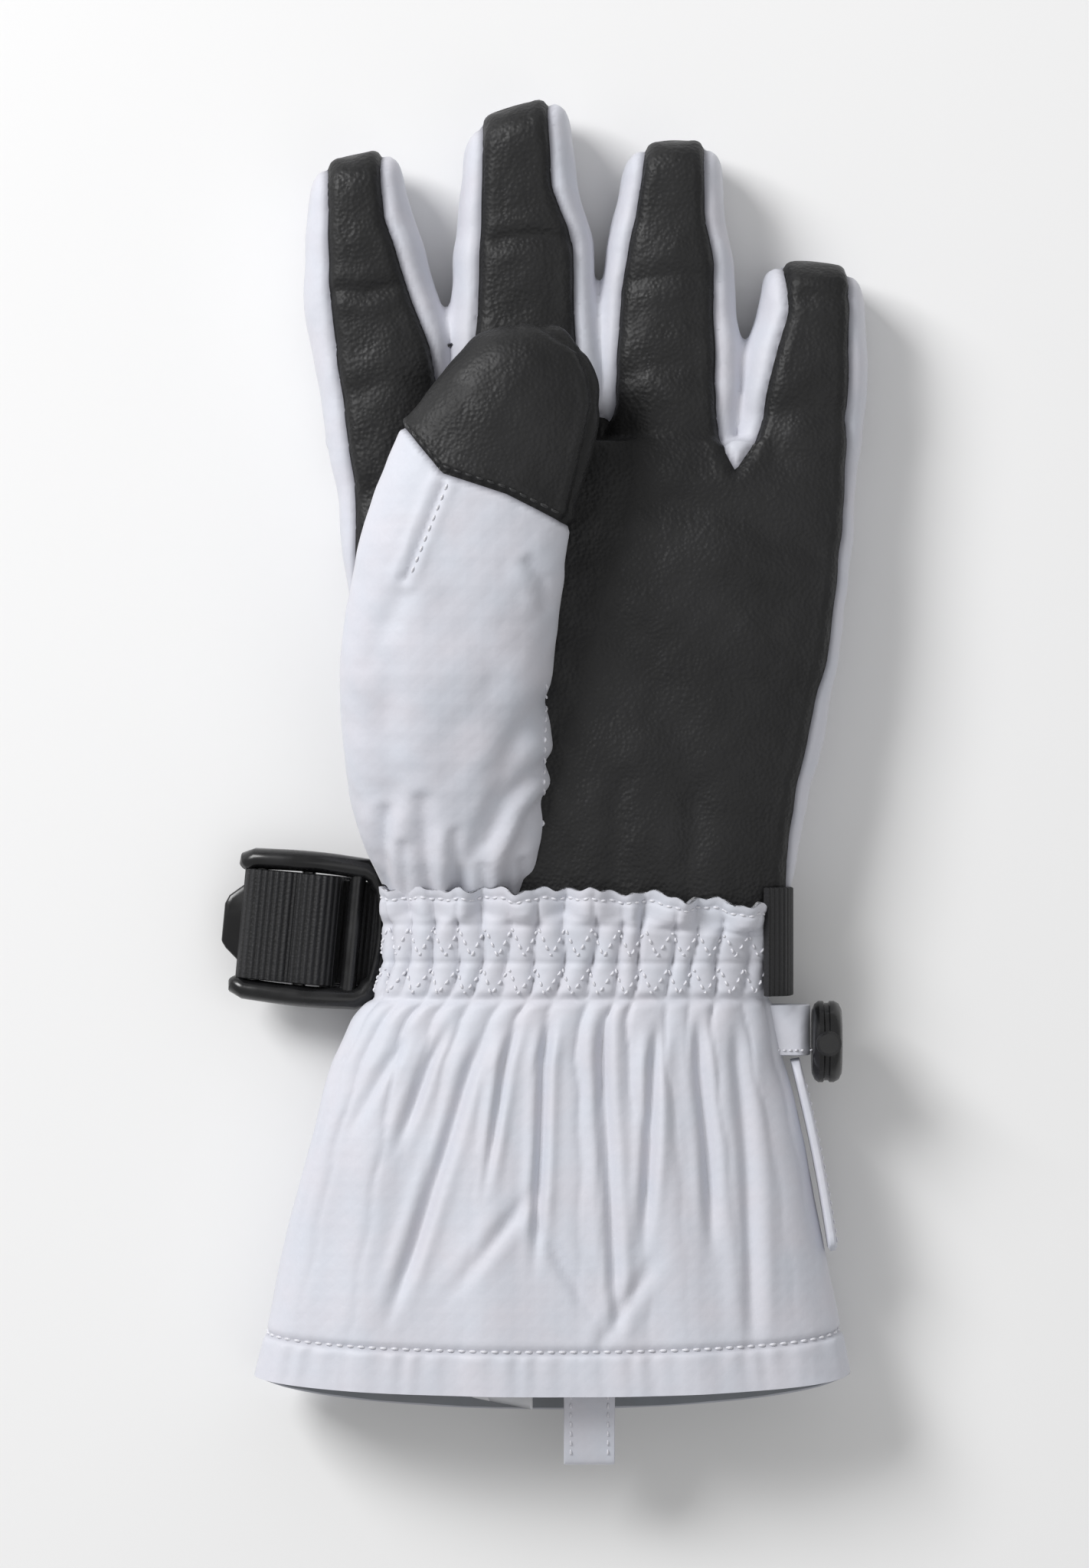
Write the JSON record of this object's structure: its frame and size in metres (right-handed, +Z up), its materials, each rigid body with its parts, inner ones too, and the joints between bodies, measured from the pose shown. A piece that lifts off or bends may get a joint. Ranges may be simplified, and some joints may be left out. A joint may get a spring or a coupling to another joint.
{
  "type": "ski glove",
  "caption": "Left-hand insulated ski glove with a leather palm, folded thumb, gathered wrist, webbing strap with ladder buckle and a flared cuff, lying palm up.",
  "frame": {"origin": "middle of the bounding box, on the surface that the glove lies on", "axes": "+X towards the little finger, +Y towards the fingertips, +Z up out of the palm"},
  "size_m": [0.1214, 0.2502, 0.0425],
  "materials": {
    "leather": "satin grained",
    "shell_fabric": "fine woven reflective",
    "insulation": "soft wadding",
    "lining": "brushed fleece",
    "webbing": "ribbed weave",
    "moulded_plastic": "gloss",
    "elastic_cord": "braided",
    "elastic_tape": "knitted",
    "spring_wire": "bright",
    "label_tape": "satin"
  },
  "bodies": {
    "hand": {"palm_panel": "leather", "back_panel": "shell_fabric", "fourchettes": "leather", "thumb_gusset": "shell_fabric", "hand_fill": "insulation", "hand_lining": "lining", "cuff_shell": "shell_fabric", "wrist_elastic": "elastic_tape", "cuff_hem": "shell_fabric", "cuff_lining": "shell_fabric", "drawcord": "elastic_cord", "strap": "webbing", "buckle_anchor": "webbing", "lock_loop": "shell_fabric", "lock_body": "moulded_plastic", "lock_spring": "spring_wire", "care_label": "label_tape"},
    "thumb": {"thumb_sleeve": "shell_fabric", "thumb_front": "leather", "thumb_cap": "leather", "thumb_fill": "insulation", "thumb_lining": "lining"},
    "index_tip": {"index_front": "leather", "index_gusset": "leather", "index_back": "shell_fabric", "index_fill": "insulation", "index_lining": "lining"},
    "middle_tip": {"middle_front": "leather", "middle_gusset": "leather", "middle_back": "shell_fabric", "middle_fill": "insulation", "middle_lining": "lining"},
    "ring_tip": {"ring_front": "leather", "ring_gusset": "leather", "ring_back": "shell_fabric", "ring_fill": "insulation", "ring_lining": "lining"},
    "little_tip": {"little_front": "leather", "little_gusset": "leather", "little_back": "shell_fabric", "little_fill": "insulation", "little_lining": "lining"},
    "buckle": {"buckle_frame": "moulded_plastic", "strap_wrap": "webbing"},
    "strap_end": {"strap_tail": "webbing"},
    "plunger": {"lock_plunger": "moulded_plastic"},
    "tab": {"pull_tab": "shell_fabric"},
    "loop": {"hang_loop": "shell_fabric"}
  },
  "joints": [
    {"name": "index_bend", "type": "hinge", "parent": "hand", "child": "index_tip", "pos_m": [-0.03152, 0.08534, 0.012], "axis": [1, 0, 0], "range_deg": [0, 60], "stiffness_Nm_per_rad": 0.03},
    {"name": "middle_bend", "type": "hinge", "parent": "hand", "child": "middle_tip", "pos_m": [-0.00382, 0.08912, 0.012], "axis": [1, 0, 0], "range_deg": [0, 60], "stiffness_Nm_per_rad": 0.03},
    {"name": "ring_bend", "type": "hinge", "parent": "hand", "child": "ring_tip", "pos_m": [0.02347, 0.08639, 0.012], "axis": [1, 0, 0], "range_deg": [0, 60], "stiffness_Nm_per_rad": 0.03},
    {"name": "little_bend", "type": "hinge", "parent": "hand", "child": "little_tip", "pos_m": [0.04977, 0.07364, 0.012], "axis": [1, 0, 0], "range_deg": [0, 60], "stiffness_Nm_per_rad": 0.03},
    {"name": "thumb_lift", "type": "hinge", "parent": "hand", "child": "thumb", "pos_m": [-0.01887, 0.0226, 0.0395], "axis": [1, 0, 0], "range_deg": [0, 45], "stiffness_Nm_per_rad": 0.05},
    {"name": "buckle_tilt", "type": "hinge", "parent": "hand", "child": "buckle", "pos_m": [-0.03617, -0.02752, 0.0095], "axis": [0.0958, 0.9954, 0], "range_deg": [0, 60]},
    {"name": "strap_adjust", "type": "slide", "parent": "hand", "child": "strap_end", "axis": [1, 0, 0], "range_m": [0, 0.012]},
    {"name": "plunger_press", "type": "slide", "parent": "hand", "child": "plunger", "axis": [0, 0, -1], "range_m": [0, 0.0024], "stiffness_N_per_m": 400, "deforming": ["lock_spring"]},
    {"name": "tab_swing", "type": "hinge", "parent": "hand", "child": "tab", "pos_m": [0.04661, -0.05552, 0.0144], "axis": [-0.9806, -0.196, 0], "range_deg": [-12, 60], "stiffness_Nm_per_rad": 0.001},
    {"name": "loop_swing", "type": "hinge", "parent": "hand", "child": "loop", "pos_m": [0.00783, -0.10392, 0.02375], "axis": [-1, 0, 0], "range_deg": [-45, 18], "stiffness_Nm_per_rad": 0.001}
  ]
}
